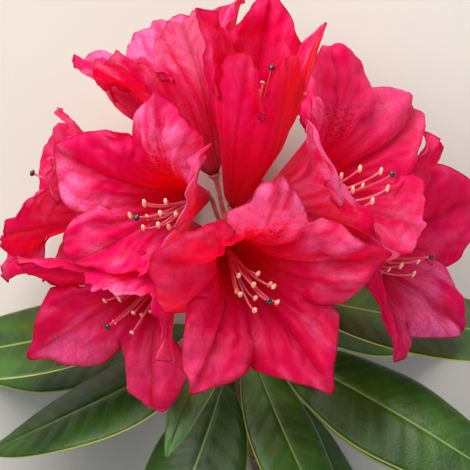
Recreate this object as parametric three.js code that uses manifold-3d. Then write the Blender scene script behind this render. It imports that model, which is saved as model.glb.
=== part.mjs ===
// A flowering shoot of a rhododendron, cut from its shrub and laid on level ground.
// A woody stem carries a whorl of leathery leaves and, above them, a domed truss of thirteen
// five-lobed funnel-shaped blooms, each on its own stalk with its stamens and style.
// Millimetres, +Z up. The origin is on the ground under the middle of the shoot's box.
import * as THREE from "three";
import { mergeVertices } from "three/addons/utils/BufferGeometryUtils.js";
import Module from "manifold-3d";

const wasm = await Module();
wasm.setup();

// ---- Driving dimensions -------------------------------------------------------------------
const TRUSS_RISE = 35; // degrees that the line of the stem climbs from the ground
const TRUSS_HEIGHT = 76; // middle of the truss above the ground
const CLEAR = 0.3; // air left between pieces that touch in life

const STEM_TOP = 8; // tip of the stem beyond the middle of the truss
const STEM_SWAY = 8; // sideways bend of the stem ...
const STEM_SWAY_AT = 95; // ... at this distance below the truss
const STEM_SIDES = 12;

const STALK_RADIUS = 1.15;
const CALYX_RADIUS = 2.9;

const PETAL_THICKNESS = 1;
const FOOT_RADIUS = 3.7; // foot of the funnel, round the ovary
const FUNNEL_LENGTH = 50; // along the petal, from the foot to the notch between two lobes
const LOBE_LENGTH = 33; // along the petal, from that notch to the lobe's tip
const FUNNEL_SLOPE = 16; // degrees between funnel wall and bloom axis
const FLARE_FROM = 28; // the wall starts to turn outwards here ...
const FLARE_TO = 66; // ... and is fully turned here
const LOBES = 5;

const LEAF_THICKNESS = 1.4;
const PETIOLE_SHARE = 0.13; // of the leaf's length

const rad = THREE.MathUtils.degToRad;
const vec = (x, y, z) => new THREE.Vector3(x, y, z);

// ---- Directions of the shoot --------------------------------------------------------------
// Everything is placed from the middle of the truss: ALONG runs up the stem, RIGHT is level,
// and FRONT is square to both and looks up from the ground.
const ALONG = vec(0, Math.cos(rad(TRUSS_RISE)), Math.sin(rad(TRUSS_RISE)));
const RIGHT = vec(1, 0, 0);
const FRONT = vec(0, -Math.sin(rad(TRUSS_RISE)), Math.cos(rad(TRUSS_RISE)));

// Unit vector at `lean` degrees from the stem's line, turned by `round` degrees from RIGHT to FRONT.
function heading(lean, round) {
  const out = RIGHT.clone()
    .multiplyScalar(Math.cos(rad(round)))
    .addScaledVector(FRONT, Math.sin(rad(round)));
  return ALONG.clone()
    .multiplyScalar(Math.cos(rad(lean)))
    .addScaledVector(out, Math.sin(rad(lean)));
}

// ---- Meshes and solids --------------------------------------------------------------------
function geometryFrom(points, triangles) {
  const geometry = new THREE.BufferGeometry();
  geometry.setAttribute(
    "position",
    new THREE.Float32BufferAttribute(points.flatMap((p) => p.toArray()), 3),
  );
  geometry.setIndex(triangles);
  return geometry;
}

// Two triangles for each cell between neighbouring rows of point numbers.
function stitch(rows) {
  const triangles = [];
  for (let j = 0; j + 1 < rows.length; j += 1) {
    for (let i = 0; i + 1 < rows[j].length; i += 1) {
      const [a, b] = [rows[j][i], rows[j][i + 1]];
      const [c, d] = [rows[j + 1][i + 1], rows[j + 1][i]];
      triangles.push(a, b, c, a, c, d);
    }
  }
  return triangles;
}

// A closed solid from an open sheet: both faces, and a wall along every free edge.
function thicken(points, triangles, thicknessAt) {
  const sheet = geometryFrom(points, triangles);
  sheet.computeVertexNormals();
  const normals = sheet.getAttribute("normal");
  const shifted = (side) =>
    points.map((p, i) =>
      vec().fromBufferAttribute(normals, i).multiplyScalar((side * thicknessAt(i)) / 2).add(p),
    );
  const under = points.length;
  const faces = [...triangles];
  const edges = new Set();
  for (let i = 0; i < triangles.length; i += 3) {
    const [a, b, c] = triangles.slice(i, i + 3);
    faces.push(under + a, under + c, under + b);
    [[a, b], [b, c], [c, a]].forEach(([from, to]) => edges.add(`${from} ${to}`));
  }
  for (const edge of edges) {
    const [a, b] = edge.split(" ").map(Number);
    if (!edges.has(`${b} ${a}`)) faces.push(b, a, under + a, b, under + a, under + b);
  }
  return geometryFrom([...shifted(1), ...shifted(-1)], faces);
}

// A closed round limb along a curve. stations is a list of [share of the length, radius].
function limb(curve, stations, sides) {
  const points = [];
  const rows = [];
  let side = null;
  for (const [share, radius] of stations) {
    const centre = curve.getPointAt(share);
    const ahead = curve.getTangentAt(share);
    side = side
      ? side.clone().addScaledVector(ahead, -side.dot(ahead)).normalize()
      : ahead.clone().cross(Math.abs(ahead.z) < 0.8 ? vec(0, 0, 1) : vec(1, 0, 0)).normalize();
    const other = ahead.clone().cross(side);
    const first = points.length;
    for (let i = 0; i < sides; i += 1) {
      const turn = (2 * Math.PI * i) / sides;
      points.push(
        centre
          .clone()
          .addScaledVector(side, radius * Math.cos(turn))
          .addScaledVector(other, radius * Math.sin(turn)),
      );
    }
    rows.push([...Array(sides + 1).keys()].map((i) => first + (i % sides)));
  }
  const triangles = stitch(rows);
  const last = rows[rows.length - 1];
  for (let i = 1; i + 1 < sides; i += 1) {
    triangles.push(rows[0][0], rows[0][i + 1], rows[0][i], last[0], last[i], last[i + 1]);
  }
  return geometryFrom(points, triangles);
}

function solidFrom(geometry) {
  const bare = geometry.clone();
  bare.deleteAttribute("normal");
  bare.deleteAttribute("uv");
  const merged = mergeVertices(bare, 1e-4);
  return new wasm.Manifold(
    new wasm.Mesh({
      numProp: 3,
      vertProperties: merged.getAttribute("position").array,
      triVerts: new Uint32Array(merged.index.array),
    }),
  );
}

function geometryOf(solid) {
  const mesh = solid.getMesh();
  const points = [];
  for (let i = 0; i < mesh.numVert; i += 1) {
    points.push(vec().fromArray(mesh.vertProperties, i * mesh.numProp));
  }
  return geometryFrom(points, [...mesh.triVerts]);
}

function join(geometries) {
  return geometryOf(geometries.map(solidFrom).reduce((whole, piece) => whole.add(piece)));
}

// ---- Materials ----------------------------------------------------------------------------
const material = (color, roughness) =>
  new THREE.MeshStandardMaterial({ color, roughness, metalness: 0 });
const barkMaterial = material(0x6b5138, 0.85);
const leafMaterial = material(0x2c5a24, 0.4);
const youngLeafMaterial = material(0x4d7a35, 0.45);
const stalkMaterial = material(0x9c2c30, 0.6);
const petalMaterial = material(0xdd1440, 0.55);
const stamenMaterial = material(0xe98aa0, 0.5);

// ---- Blooms: where each one is ------------------------------------------------------------
// stalk is where its foot is (lean, round, distance from the middle), face is where it looks
// (lean, round), roll turns its upper lobe from the truss's tip, open is its share of full flare
// and layer says whose lobes lie over a neighbour's.
const BLOOMS = [
  { name: "top_left", stalk: [26, 229, 25], face: [32, 228], roll: -71, size: 0.88, open: 0.5, layer: 4 },
  { name: "top_right", stalk: [28, 86, 22.5], face: [13, 350], roll: 49, size: 0.99, open: 0.1, layer: 4.5 },
  { name: "upper_right", stalk: [38, 42, 26.5], face: [56, 29], roll: -22, size: 1.01, open: 1, layer: 5 },
  { name: "right", stalk: [106, 349, 27.5], face: [74, 30], roll: -23, size: 0.97, open: 0.8, layer: 5 },
  { name: "front", stalk: [64, 98, 27.5], face: [75, 73], roll: -10, size: 0.93, open: 0.66, layer: 6 },
  { name: "lower_left", stalk: [79, 142, 20], face: [90, 122], roll: -13, size: 0.95, open: 0.86, layer: 5 },
  { name: "left", stalk: [30, 147, 26], face: [66, 121], roll: 4, size: 0.84, open: 0.82, layer: 5.5 },
  { name: "back_left", stalk: [99, 203, 26.5], face: [71, 189], roll: 115, size: 0.95, open: 0.8, layer: 2 },
  { name: "behind_left", stalk: [55, 247, 31], face: [64, 233], roll: -72, size: 0.95, open: 0.85, layer: 1 },
  { name: "behind", stalk: [78, 274, 26], face: [79, 276], roll: 2, size: 0.9, open: 0.9, layer: 0 },
  { name: "behind_right", stalk: [78, 311, 25], face: [80, 321], roll: -7, size: 0.95, open: 1, layer: 1 },
  { name: "under_left", stalk: [121, 231, 24], face: [117, 228], roll: -27, size: 0.92, open: 0.9, layer: 2 },
  { name: "under_right", stalk: [127, 304, 25], face: [127, 305], roll: 54, size: 0.92, open: 0.9, layer: 2 },
];

for (const [number, bloom] of BLOOMS.entries()) {
  const [lean, round, reach] = bloom.stalk;
  bloom.number = number;
  bloom.foot = heading(lean, round).multiplyScalar(reach);
  bloom.axis = heading(...bloom.face);
  const up = ALONG.clone().addScaledVector(bloom.axis, -ALONG.dot(bloom.axis)).normalize();
  bloom.up = up.applyAxisAngle(bloom.axis, rad(bloom.roll));
  bloom.side = bloom.up.clone().cross(bloom.axis);
  bloom.middle = bloom.foot.clone().addScaledVector(bloom.axis, 40).normalize();
}

// ---- How lobes and leaves give way ----------------------------------------------------------
const LAYER_FROM = 50; // lobes start to lie over each other this far from the truss's middle
const LAYER_SLOPE = 0.45;
const YIELD_SHARE = 0.12; // a petal starts to bend this share of its distance before a neighbour
const YIELD_TURN = -0.35; // part of the way a petal moves aside that also turns it back
const GROUND_YIELD = 7;
const SKIRT_DROP = 22; // blooms stay above and leaves below a cone that starts this far down ...
const SKIRT_SLOPE = 0.2; // ... and falls this much with distance from the stem

// x rises to 0 and no further, bending off over the last `soft` before it.
const yieldTo = (x, soft) => (x < -soft ? x : -soft * Math.exp(-(x + soft) / soft));

// Moves p back along `way` where it passes its limit, and part of that distance along `turn`.
function giveWay(p, past, soft, way, turn, share) {
  const excess = past - yieldTo(past, soft);
  if (excess <= 0) return;
  p.addScaledVector(way, -excess).addScaledVector(turn, share * excess);
}

const fromStem = (p) => Math.sqrt(Math.max(p.lengthSq() - p.dot(ALONG) ** 2, 0));
const skirtAt = (p) => -SKIRT_DROP - SKIRT_SLOPE * fromStem(p);

// A point of a bloom, once its neighbours, the leaves and the ground have bent it.
function settlePetal(point, bloom, keepOff) {
  const p = point.clone();
  const beside = (other) => {
    const way = other.middle.clone().sub(bloom.middle).normalize();
    const overlap = LAYER_SLOPE * Math.max(p.length() - LAYER_FROM, 0);
    const over = Math.sign(bloom.layer - other.layer) * overlap;
    return [p.dot(way) - over + keepOff, way];
  };
  const neighbours = BLOOMS.filter(
    (other) => other !== bloom && other.middle.angleTo(bloom.middle) < rad(100),
  );
  for (const other of neighbours) {
    const [past, way] = beside(other);
    giveWay(p, past, YIELD_SHARE * p.length(), way, bloom.axis, YIELD_TURN);
  }
  giveWay(p, skirtAt(p) - p.dot(ALONG) + keepOff, 5, ALONG.clone().negate(), bloom.axis, 0.3);
  giveWay(p, keepOff - TRUSS_HEIGHT - p.z, GROUND_YIELD, vec(0, 0, -1), vec(p.x, p.y, 0).normalize(), 0.5);
  for (const other of neighbours) {
    const [past, way] = beside(other);
    if (past > 0) p.addScaledVector(way, -past);
  }
  p.z = Math.max(p.z, keepOff - TRUSS_HEIGHT);
  return p;
}

// ---- Corolla ------------------------------------------------------------------------------
const FUNNEL_ROWS = [0, 8, 24, 38, FUNNEL_LENGTH];
const LOBE_ROWS = [0.5, 1];
const LOBE_COLUMNS = 4;
const WAVE_HEIGHT = 3;
const RIB_DEPTH = 1.6;
const SIDE_ROLL = 4.5; // how far a lobe's sides roll back
const SLIM = 0.06; // share of its width that a lobe loses towards its tip

// What tells one lobe from the next: the degrees that it turns outwards and that its outer half
// curls back, how blunt its tip is, the start of its wave, and the millimetres that it twists.
function traitsOf(bloom, lobe) {
  const count = LOBES * bloom.number + lobe;
  return {
    flare: 72 + (lobe === 0 ? 6 : 0) + 8 * Math.sin(2.4 * count + 1.1),
    curl: 12 + 12 * Math.sin(1.9 * count + 0.4),
    point: 1.55 + 0.35 * Math.sin(3.1 * count + 0.5),
    wave: 1.7 * count,
    twist: 3.5 * Math.sin(2.9 * count + 0.8),
  };
}

const smooth = (x) => THREE.MathUtils.smoothstep(x, 0, 1);

// Radius, height and slope of the wall at a distance along the petal.
function meridian(distance, flare, curl) {
  const steps = 16;
  const stride = distance / steps;
  let radius = FOOT_RADIUS;
  let height = 0;
  let slope = rad(FUNNEL_SLOPE);
  for (let i = 0; i < steps; i += 1) {
    const at = stride * (i + 0.5);
    const turned = smooth((at - FLARE_FROM) / (FLARE_TO - FLARE_FROM));
    slope = rad(FUNNEL_SLOPE + (flare - FUNNEL_SLOPE) * turned + curl * smooth((at - 56) / 26));
    radius += stride * Math.sin(slope);
    height += stride * Math.cos(slope);
  }
  return { radius, height, slope };
}

// A point of the petal sheet. across runs from -1 to 1 over one lobe, up from 0 at the notch
// between lobes to 1 at the lobe's edge. Below the notch, `distance` is given instead.
function petalPoint(bloom, lobe, across, up, distance = null) {
  const side = Math.abs(across);
  const next = traitsOf(bloom, (lobe + Math.sign(across) + LOBES) % LOBES);
  const own = traitsOf(bloom, lobe);
  const flare = THREE.MathUtils.lerp(own.flare, next.flare, (side ** 2 / 2) * (1 - up));
  const along = distance ?? FUNNEL_LENGTH + LOBE_LENGTH * up * (1 - 0.5 * side ** own.point);
  const slopeFull = THREE.MathUtils.lerp(FUNNEL_SLOPE, flare, bloom.open);
  const { radius, height, slope } = meridian(along, slopeFull, own.curl * up * bloom.open);
  const width = 1 - 0.05 * Math.sqrt(up) - SLIM * up ** 1.5;
  const turn = rad(360 / LOBES) * (lobe + (across * width) / 2);
  const wave = WAVE_HEIGHT * up * side ** 1.5 * Math.sin(4.2 * up + 1.6 * across + own.wave);
  const rolled = SIDE_ROLL * up ** 0.8 * side ** 2.5;
  const rib = RIB_DEPTH * smooth((along - 20) / 30) * Math.exp(-((across / 0.25) ** 2));
  const lift = wave + own.twist * across * up - rolled - rib;
  const r = bloom.size * (radius - lift * Math.cos(slope));
  const h = bloom.size * (height + lift * Math.sin(slope));
  const raw = bloom.foot
    .clone()
    .addScaledVector(bloom.axis, h)
    .addScaledVector(bloom.up, r * Math.cos(turn))
    .addScaledVector(bloom.side, r * Math.sin(turn));
  return settlePetal(raw, bloom, PETAL_THICKNESS);
}

function corolla(bloom) {
  const points = [];
  const add = (p) => points.push(p) - 1;
  const columns = LOBES * LOBE_COLUMNS;
  const shareOf = (column) => ((column % LOBE_COLUMNS) / LOBE_COLUMNS) * 2 - 1;
  const rings = FUNNEL_ROWS.map((distance) => {
    const ring = [...Array(columns).keys()].map((column) =>
      add(petalPoint(bloom, Math.floor(column / LOBE_COLUMNS), shareOf(column), 0, distance)),
    );
    return [...ring, ring[0]];
  });
  const triangles = stitch(rings);
  const notchRing = rings[rings.length - 1];
  for (let lobe = 0; lobe < LOBES; lobe += 1) {
    const first = notchRing.slice(lobe * LOBE_COLUMNS, (lobe + 1) * LOBE_COLUMNS + 1);
    const rows = LOBE_ROWS.map((up) =>
      first.map((_, i) => add(petalPoint(bloom, lobe, (2 * i) / LOBE_COLUMNS - 1, up))),
    );
    triangles.push(...stitch([first, ...rows]));
  }
  return thicken(points, triangles, () => PETAL_THICKNESS);
}

// ---- Stamens and style --------------------------------------------------------------------
const STAMENS = 6;
const FILAMENT_RADIUS = 0.55;
const ANTHER_RADIUS = 1.25;
const OVARY_RADIUS = 1.6;
const STAMEN_CLEAR = 3.4; // stamens keep this far from what presses on their bloom

// A point inside a bloom, from its own right, up and outward distances.
function inBloom(bloom, right, up, out) {
  const spread = bloom.size * THREE.MathUtils.lerp(0.3, 1, bloom.open);
  const raw = bloom.foot
    .clone()
    .addScaledVector(bloom.side, spread * right)
    .addScaledVector(bloom.up, spread * up)
    .addScaledVector(bloom.axis, bloom.size * out);
  return settlePetal(raw, bloom, STAMEN_CLEAR);
}

// A thread that starts at the ovary, lies along the lower side of the funnel and turns up.
function thread(bloom, right, up, out) {
  return new THREE.CubicBezierCurve3(
    inBloom(bloom, right * 0.08, up * 0.08, 2.5),
    inBloom(bloom, right * 0.15, -2, out * 0.35),
    inBloom(bloom, right * 0.6, up - 5, out * 0.7),
    inBloom(bloom, right, up, out),
  );
}

function stamens(bloom) {
  const pieces = [];
  for (let i = 0; i < STAMENS; i += 1) {
    const turn = rad((360 / STAMENS) * i + 20);
    const long = i % 2;
    const curve = thread(bloom, 9 * Math.sin(turn), -5 + 6 * Math.cos(turn), 44 + 9 * long);
    pieces.push(
      limb(curve, [
        [0, FILAMENT_RADIUS], [0.35, FILAMENT_RADIUS], [0.7, FILAMENT_RADIUS],
        [0.93, FILAMENT_RADIUS], [0.95, ANTHER_RADIUS], [1, ANTHER_RADIUS * 0.8],
      ], 3),
    );
  }
  pieces.push(
    limb(thread(bloom, 1, -4, 62), [
      [0, 0.8], [0.3, 0.7], [0.6, 0.7], [0.95, 0.7], [0.965, 1.7], [1, 1.2],
    ], 4),
  );
  const ovary = new THREE.LineCurve3(inBloom(bloom, 0, 0, 0), inBloom(bloom, 0, 0, 6));
  pieces.push(limb(ovary, [[0, 1.2], [0.4, OVARY_RADIUS], [1, 1]], 6));
  return join(pieces);
}

// ---- Stem and stalks ----------------------------------------------------------------------
const STEM_PROFILE = [[STEM_TOP, 1.6], [0, 2.8], [-14, 3.3], [-30, 4.1], [-60, 4.2], [-140, 4.6]];

function stemRadius(height) {
  const i = Math.max(STEM_PROFILE.findIndex(([h]) => h <= height), 1);
  const [[h0, r0], [h1, r1]] = STEM_PROFILE.slice(i - 1, i + 1);
  return THREE.MathUtils.mapLinear(height, h0, h1, r0, r1);
}

const stemCentre = (height) =>
  ALONG.clone()
    .multiplyScalar(height)
    .addScaledVector(RIGHT, height < 0 ? STEM_SWAY * (height / STEM_SWAY_AT) ** 2 : 0);

// The cut end's lower rim lies on the ground.
const CUT_RADIUS = STEM_PROFILE[STEM_PROFILE.length - 1][1];
const STEM_CUT = -(TRUSS_HEIGHT - CUT_RADIUS * Math.cos(rad(TRUSS_RISE))) / Math.sin(rad(TRUSS_RISE));

function stem() {
  const heights = [STEM_CUT, -108, -90, -72, -56, -44, -34, -24, -14, -4, 3, STEM_TOP];
  const curve = new THREE.CatmullRomCurve3(heights.map(stemCentre));
  const length = STEM_TOP - STEM_CUT;
  const stations = heights.map((h) => [(h - STEM_CUT) / length, stemRadius(h)]);
  return limb(curve, stations, STEM_SIDES);
}

function stalk(bloom) {
  const height = THREE.MathUtils.mapLinear(bloom.stalk[0], 25, 100, 5, -12);
  const away = heading(90, bloom.stalk[1]);
  const start = stemCentre(height).addScaledVector(away, stemRadius(height) + CLEAR + 0.6);
  const end = bloom.foot.clone().addScaledVector(bloom.axis, -CLEAR - 0.3);
  const curve = new THREE.CubicBezierCurve3(
    start,
    start.clone().add(away.multiplyScalar(3)).addScaledVector(bloom.foot, 0.25),
    end.clone().addScaledVector(bloom.axis, -9),
    end,
  );
  return limb(curve, [
    [0, STALK_RADIUS * 1.15], [0.12, STALK_RADIUS], [0.35, STALK_RADIUS], [0.6, STALK_RADIUS],
    [0.86, STALK_RADIUS], [0.95, CALYX_RADIUS * 0.75], [1, CALYX_RADIUS],
  ], 6);
}

// ---- Leaves -------------------------------------------------------------------------------
// at is the height on the stem; a leaf sets out along `from` and ends along `to`.
const LEAVES = [
  { name: "leaf_left", at: -30, from: [75, 160], to: [91, 188], roll: -20, length: 144, width: 46 },
  { name: "leaf_lower_left", at: -48, from: [100, 148], to: [123, 189], roll: 0, length: 112, width: 40 },
  { name: "leaf_down", at: -52, from: [116, 106], to: [150, 150], roll: 0, length: 132, width: 45 },
  { name: "leaf_down_right", at: -38, from: [105, 74], to: [140, 42], roll: 0, length: 130, width: 29 },
  { name: "leaf_lower_right", at: -48, from: [87, 40], to: [122, 17], roll: 10, length: 140, width: 42 },
  { name: "leaf_right", at: -34, from: [67, 6], to: [99, 359], roll: 10, length: 144, width: 46 },
  { name: "leaf_far_right", at: -54, from: [115, 19], to: [122, 1], roll: 0, length: 128, width: 42 },
  { name: "leaf_under_right", at: -60, from: [140, 36], to: [145, 25], roll: 0, length: 120, width: 40 },
  { name: "leaf_back_left", at: -44, from: [120, 196], to: [108, 200], roll: 0, length: 130, width: 42 },
  { name: "leaf_back", at: -54, from: [150, 255], to: [153, 180], roll: 0, length: 112, width: 40 },
  { name: "leaf_back_right", at: -42, from: [122, 320], to: [98, 342], roll: 0, length: 132, width: 42 },
  { name: "young_leaf_left", at: -30, from: [88, 108], to: [140, 118], roll: 0, length: 76, width: 17, young: true },
  { name: "young_leaf_right", at: -31, from: [86, 52], to: [134, 40], roll: 0, length: 48, width: 10, young: true },
];
const LEAF_ROWS = [0, 0.07, PETIOLE_SHARE, 0.2, 0.32, 0.48, 0.64, 0.8, 0.92, 1];
const LEAF_COLUMNS = [-1, -0.5, 0, 0.5, 1];
const PETIOLE_HALF_WIDTH = 1.7;

function leafHalfWidth(leaf, share) {
  const blade = THREE.MathUtils.clamp((share - PETIOLE_SHARE) / (1 - PETIOLE_SHARE), 0, 1);
  const swell = Math.sin(Math.PI * blade ** 0.85) ** 0.72;
  const petiole = PETIOLE_HALF_WIDTH * (leaf.young ? 0.6 : 1) * (1 - blade * 0.7);
  return Math.max((leaf.width / 2) * swell, petiole);
}

// Line, outward direction and face of a leaf at shares of its length.
function leafSpine(leaf) {
  const steps = 40;
  const [from, to] = [heading(...leaf.from), heading(...leaf.to)];
  const outwards = heading(90, leaf.from[1]);
  const tilt = LEAF_THICKNESS * Math.abs(Math.cos(rad(leaf.from[0])));
  const p = stemCentre(leaf.at).addScaledVector(outwards, stemRadius(leaf.at) + CLEAR + tilt);
  const spine = [];
  for (let i = 0; i <= steps; i += 1) {
    const ahead = from.clone().lerp(to, i / steps).normalize();
    const face = ALONG.clone().addScaledVector(ahead, -ALONG.dot(ahead)).normalize();
    face.applyAxisAngle(ahead, rad(leaf.roll * smooth((4 * i) / steps)));
    spine.push({ point: p.clone(), ahead, face });
    p.addScaledVector(ahead, leaf.length / steps);
  }
  return (share) => spine[Math.round(share * steps)];
}

function settleLeaf(point, keepOff) {
  const p = point.clone();
  const back = ALONG.clone().negate();
  giveWay(p, p.dot(ALONG) - skirtAt(p) + keepOff + 2, 5, ALONG, back, 0);
  giveWay(p, keepOff - TRUSS_HEIGHT - p.z, GROUND_YIELD, vec(0, 0, -1), vec(p.x, p.y, 0).normalize(), 0.3);
  p.z = Math.max(p.z, keepOff - TRUSS_HEIGHT);
  return p;
}

function leafBlade(leaf) {
  const spineAt = leafSpine(leaf);
  const points = [];
  const thickness = [];
  const rows = LEAF_ROWS.map((share) => {
    const { point, ahead, face } = spineAt(share);
    const aside = ahead.clone().cross(face);
    const half = leafHalfWidth(leaf, share);
    return LEAF_COLUMNS.map((across) => {
      const sag = 0.16 * half * across ** 2 + 0.6 * (1 - Math.abs(across)) * smooth((share - PETIOLE_SHARE) * 6);
      const raw = point.clone().addScaledVector(aside, half * across).addScaledVector(face, -sag);
      thickness.push(share < PETIOLE_SHARE ? LEAF_THICKNESS * 2 : LEAF_THICKNESS);
      return points.push(settleLeaf(raw, LEAF_THICKNESS)) - 1;
    });
  });
  return thicken(points, stitch(rows), (i) => thickness[i]);
}

// ---- The shoot ----------------------------------------------------------------------------
const shoot = new THREE.Group();
function place(name, geometry, finish) {
  const mesh = new THREE.Mesh(geometry, finish);
  mesh.name = name;
  shoot.add(mesh);
}

place("stem", stem(), barkMaterial);
for (const leaf of LEAVES) {
  place(leaf.name, leafBlade(leaf), leaf.young ? youngLeafMaterial : leafMaterial);
}
for (const bloom of BLOOMS) {
  place(`stalk_${bloom.name}`, stalk(bloom), stalkMaterial);
  place(`corolla_${bloom.name}`, corolla(bloom), petalMaterial);
  place(`stamens_${bloom.name}`, stamens(bloom), stamenMaterial);
}

const box = new THREE.Box3().setFromObject(shoot);
const middle = box.getCenter(vec());
shoot.position.set(-middle.x, -middle.y, -box.min.z);

const part = new THREE.Group();
part.add(shoot);
export default part;
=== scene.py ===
# A flowering shoot of a rhododendron, cut and laid on level ground: its petals, stamens, leaves
# and bark. Shapes are worked out in millimetres from the middle of the truss, made in metres.
import math

import bpy
import numpy as np
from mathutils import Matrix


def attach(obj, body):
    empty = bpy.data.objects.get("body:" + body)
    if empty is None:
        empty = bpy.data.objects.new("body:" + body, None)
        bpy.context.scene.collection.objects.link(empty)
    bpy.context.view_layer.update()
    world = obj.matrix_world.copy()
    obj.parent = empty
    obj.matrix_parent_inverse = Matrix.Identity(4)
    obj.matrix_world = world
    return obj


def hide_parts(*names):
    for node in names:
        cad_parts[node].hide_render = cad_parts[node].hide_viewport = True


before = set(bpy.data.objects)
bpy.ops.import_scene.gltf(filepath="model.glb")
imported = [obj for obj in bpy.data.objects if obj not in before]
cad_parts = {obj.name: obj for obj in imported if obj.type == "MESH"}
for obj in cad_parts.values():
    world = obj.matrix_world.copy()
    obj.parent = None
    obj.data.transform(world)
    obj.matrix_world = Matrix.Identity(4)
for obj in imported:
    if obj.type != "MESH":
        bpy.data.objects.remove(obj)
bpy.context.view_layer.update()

MM = 0.001

# ---- Driving dimensions, in millimetres and degrees --------------------------------------------
TRUSS_RISE = 35  # degrees that the line of the stem climbs from the ground
TRUSS_HEIGHT = 76  # middle of the truss above the ground
CLEAR = 0.3  # air left between pieces that touch in life

STEM_TOP = 8  # tip of the stem beyond the middle of the truss
STEM_SWAY = 8  # sideways bend of the stem ...
STEM_SWAY_AT = 95  # ... at this distance below the truss
STEM_PROFILE = [(-140, 4.6), (-60, 4.2), (-30, 4.1), (-14, 3.3), (0, 2.8), (STEM_TOP, 1.6)]

CALYX_RADIUS = 2.7
# Share of a stalk's length and its radius there: a thicker foot, then slim, then the calyx.
STALK_PROFILE = [
    (0, 1.5),
    (0.06, 1.25),
    (0.15, 1.0),
    (0.8, 1.0),
    (0.9, 1.15),
    (0.95, 1.9),
    (0.98, 2.6),
    (1, CALYX_RADIUS),
]

PETAL_THICKNESS = 0.5
FOOT_RADIUS = 3.7  # foot of the funnel, round the ovary
FOOT_TUCK = 1.6  # the foot draws in by this much, so that its calyx covers it ...
FOOT_TUCK_LENGTH = 3  # ... over this length
FUNNEL_LENGTH = 50  # along the petal, from the foot to the notch between two lobes
LOBE_LENGTH = 31.5  # along the petal, from that notch to the shoulders of the lobe's tip
PETAL_LENGTH = FUNNEL_LENGTH + LOBE_LENGTH
FUNNEL_SLOPE = 16  # degrees between funnel wall and bloom axis
FLARE_FROM = 28  # the wall starts to turn outwards here ...
FLARE_TO = 66  # ... and is fully turned here
CURL_FROM = 56  # the lobes start to curl back here ...
CURL_TO = 82  # ... and have their full curl here
OPENING = 40  # along the bloom's axis, from its foot to the middle of its opening
LOBES = 5

LEAF_THICKNESS = 0.6
PETIOLE_SHARE = 0.13  # of the leaf's length

# ---- Directions of the shoot -------------------------------------------------------------------
# ALONG runs up the stem, RIGHT is level, FRONT is square to both and looks up from the ground.
RISE = math.radians(TRUSS_RISE)
ALONG = np.array([0, math.cos(RISE), math.sin(RISE)])
RIGHT = np.array([1.0, 0, 0])
FRONT = np.array([0, -math.sin(RISE), math.cos(RISE)])
DOWN = np.array([0, 0, -1])


def unit(v):
    return v / np.linalg.norm(v)


def heading(lean, turn):
    """Unit vector at lean degrees from the stem's line, turned from RIGHT towards FRONT."""
    lean, turn = math.radians(lean), math.radians(turn)
    out = RIGHT * math.cos(turn) + FRONT * math.sin(turn)
    return ALONG * math.cos(lean) + out * math.sin(lean)


def spun(v, axis, degrees):
    """v turned about a unit axis."""
    a = math.radians(degrees)
    along = axis * (axis @ v)
    return along + (v - along) * math.cos(a) + np.cross(axis, v) * math.sin(a)


def smooth(x):
    """Rises gently from 0 to 1 as x does."""
    x = np.clip(x, 0, 1)
    return x * x * (3 - 2 * x)


RIPPLE_SHARES = (1, 0.8, 0.6, 0.45)  # heights of the waves that make up a ripple


def ripple(x, y, seed):
    """Gentle, uneven swell between about -1 and 1 over a plane, one period about 1 long."""
    draw = np.random.default_rng(seed)
    total = 0
    for share in RIPPLE_SHARES:
        angle, phase = draw.uniform(0, 2 * math.pi, 2)
        pitch = draw.uniform(0.6, 1.4)
        total = total + share * np.sin(
            2 * math.pi * pitch * (x * math.cos(angle) + y * math.sin(angle)) + phase
        )
    return total / 2


# The stem's tip in the frame says where the middle of the truss is.
TIP_SLICE = 0.3  # the stem's last points lie within this height of its tip
stem_points = np.array([v.co for v in bpy.data.objects["stem"].data.vertices]) / MM
reach_up = stem_points @ ALONG
stem_tip = stem_points[reach_up > reach_up.max() - TIP_SLICE].mean(0)
MIDDLE = stem_tip - ALONG * STEM_TOP

# ---- Blooms: where each one is -----------------------------------------------------------------
# stalk is where the bloom's foot is (lean, turn, distance from the middle), face is where it
# looks (lean, turn), and roll turns its upper lobe from the truss's tip. size is its share of a
# full-grown bloom, spread its share of full flare, and layer says whose lobes lie on top.
# Name, stalk, face, roll, size, spread, layer.
BLOOM_LIST = [
    ("top_left", (26, 229, 25), (32, 228), -71, 0.88, 0.5, 4),
    ("top_right", (28, 86, 22.5), (13, 350), 49, 0.99, 0.1, 4.5),
    ("upper_right", (38, 42, 26.5), (56, 29), -22, 1.01, 1, 5),
    ("right", (106, 349, 27.5), (74, 30), -23, 0.97, 0.8, 5),
    ("front", (64, 98, 27.5), (75, 73), -10, 0.93, 0.66, 6),
    ("lower_left", (79, 142, 20), (90, 122), -13, 0.95, 0.86, 5),
    ("left", (30, 147, 26), (66, 121), 4, 0.84, 0.82, 5.5),
    ("back_left", (99, 203, 26.5), (71, 189), 115, 0.95, 0.8, 2),
    ("behind_left", (55, 247, 31), (64, 233), -72, 0.95, 0.85, 1),
    ("behind", (78, 274, 26), (79, 276), 2, 0.9, 0.9, 0),
    ("behind_right", (78, 311, 25), (80, 321), -7, 0.95, 1, 1),
    ("under_left", (121, 231, 24), (117, 228), -27, 0.92, 0.9, 2),
    ("under_right", (127, 304, 25), (127, 305), 54, 0.92, 0.9, 2),
]


class Bloom:
    def __init__(self, number, name, stalk, face, roll, size, spread, layer):
        self.number, self.name, self.stalk = number, name, stalk
        self.size, self.spread, self.layer = size, spread, layer
        self.foot = heading(*stalk[:2]) * stalk[2]
        self.axis = heading(*face)
        self.up = spun(unit(ALONG - self.axis * (ALONG @ self.axis)), self.axis, roll)
        self.side = np.cross(self.up, self.axis)
        self.middle = unit(self.foot + self.axis * OPENING)


BLOOMS = [Bloom(number, *row) for number, row in enumerate(BLOOM_LIST)]

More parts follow.
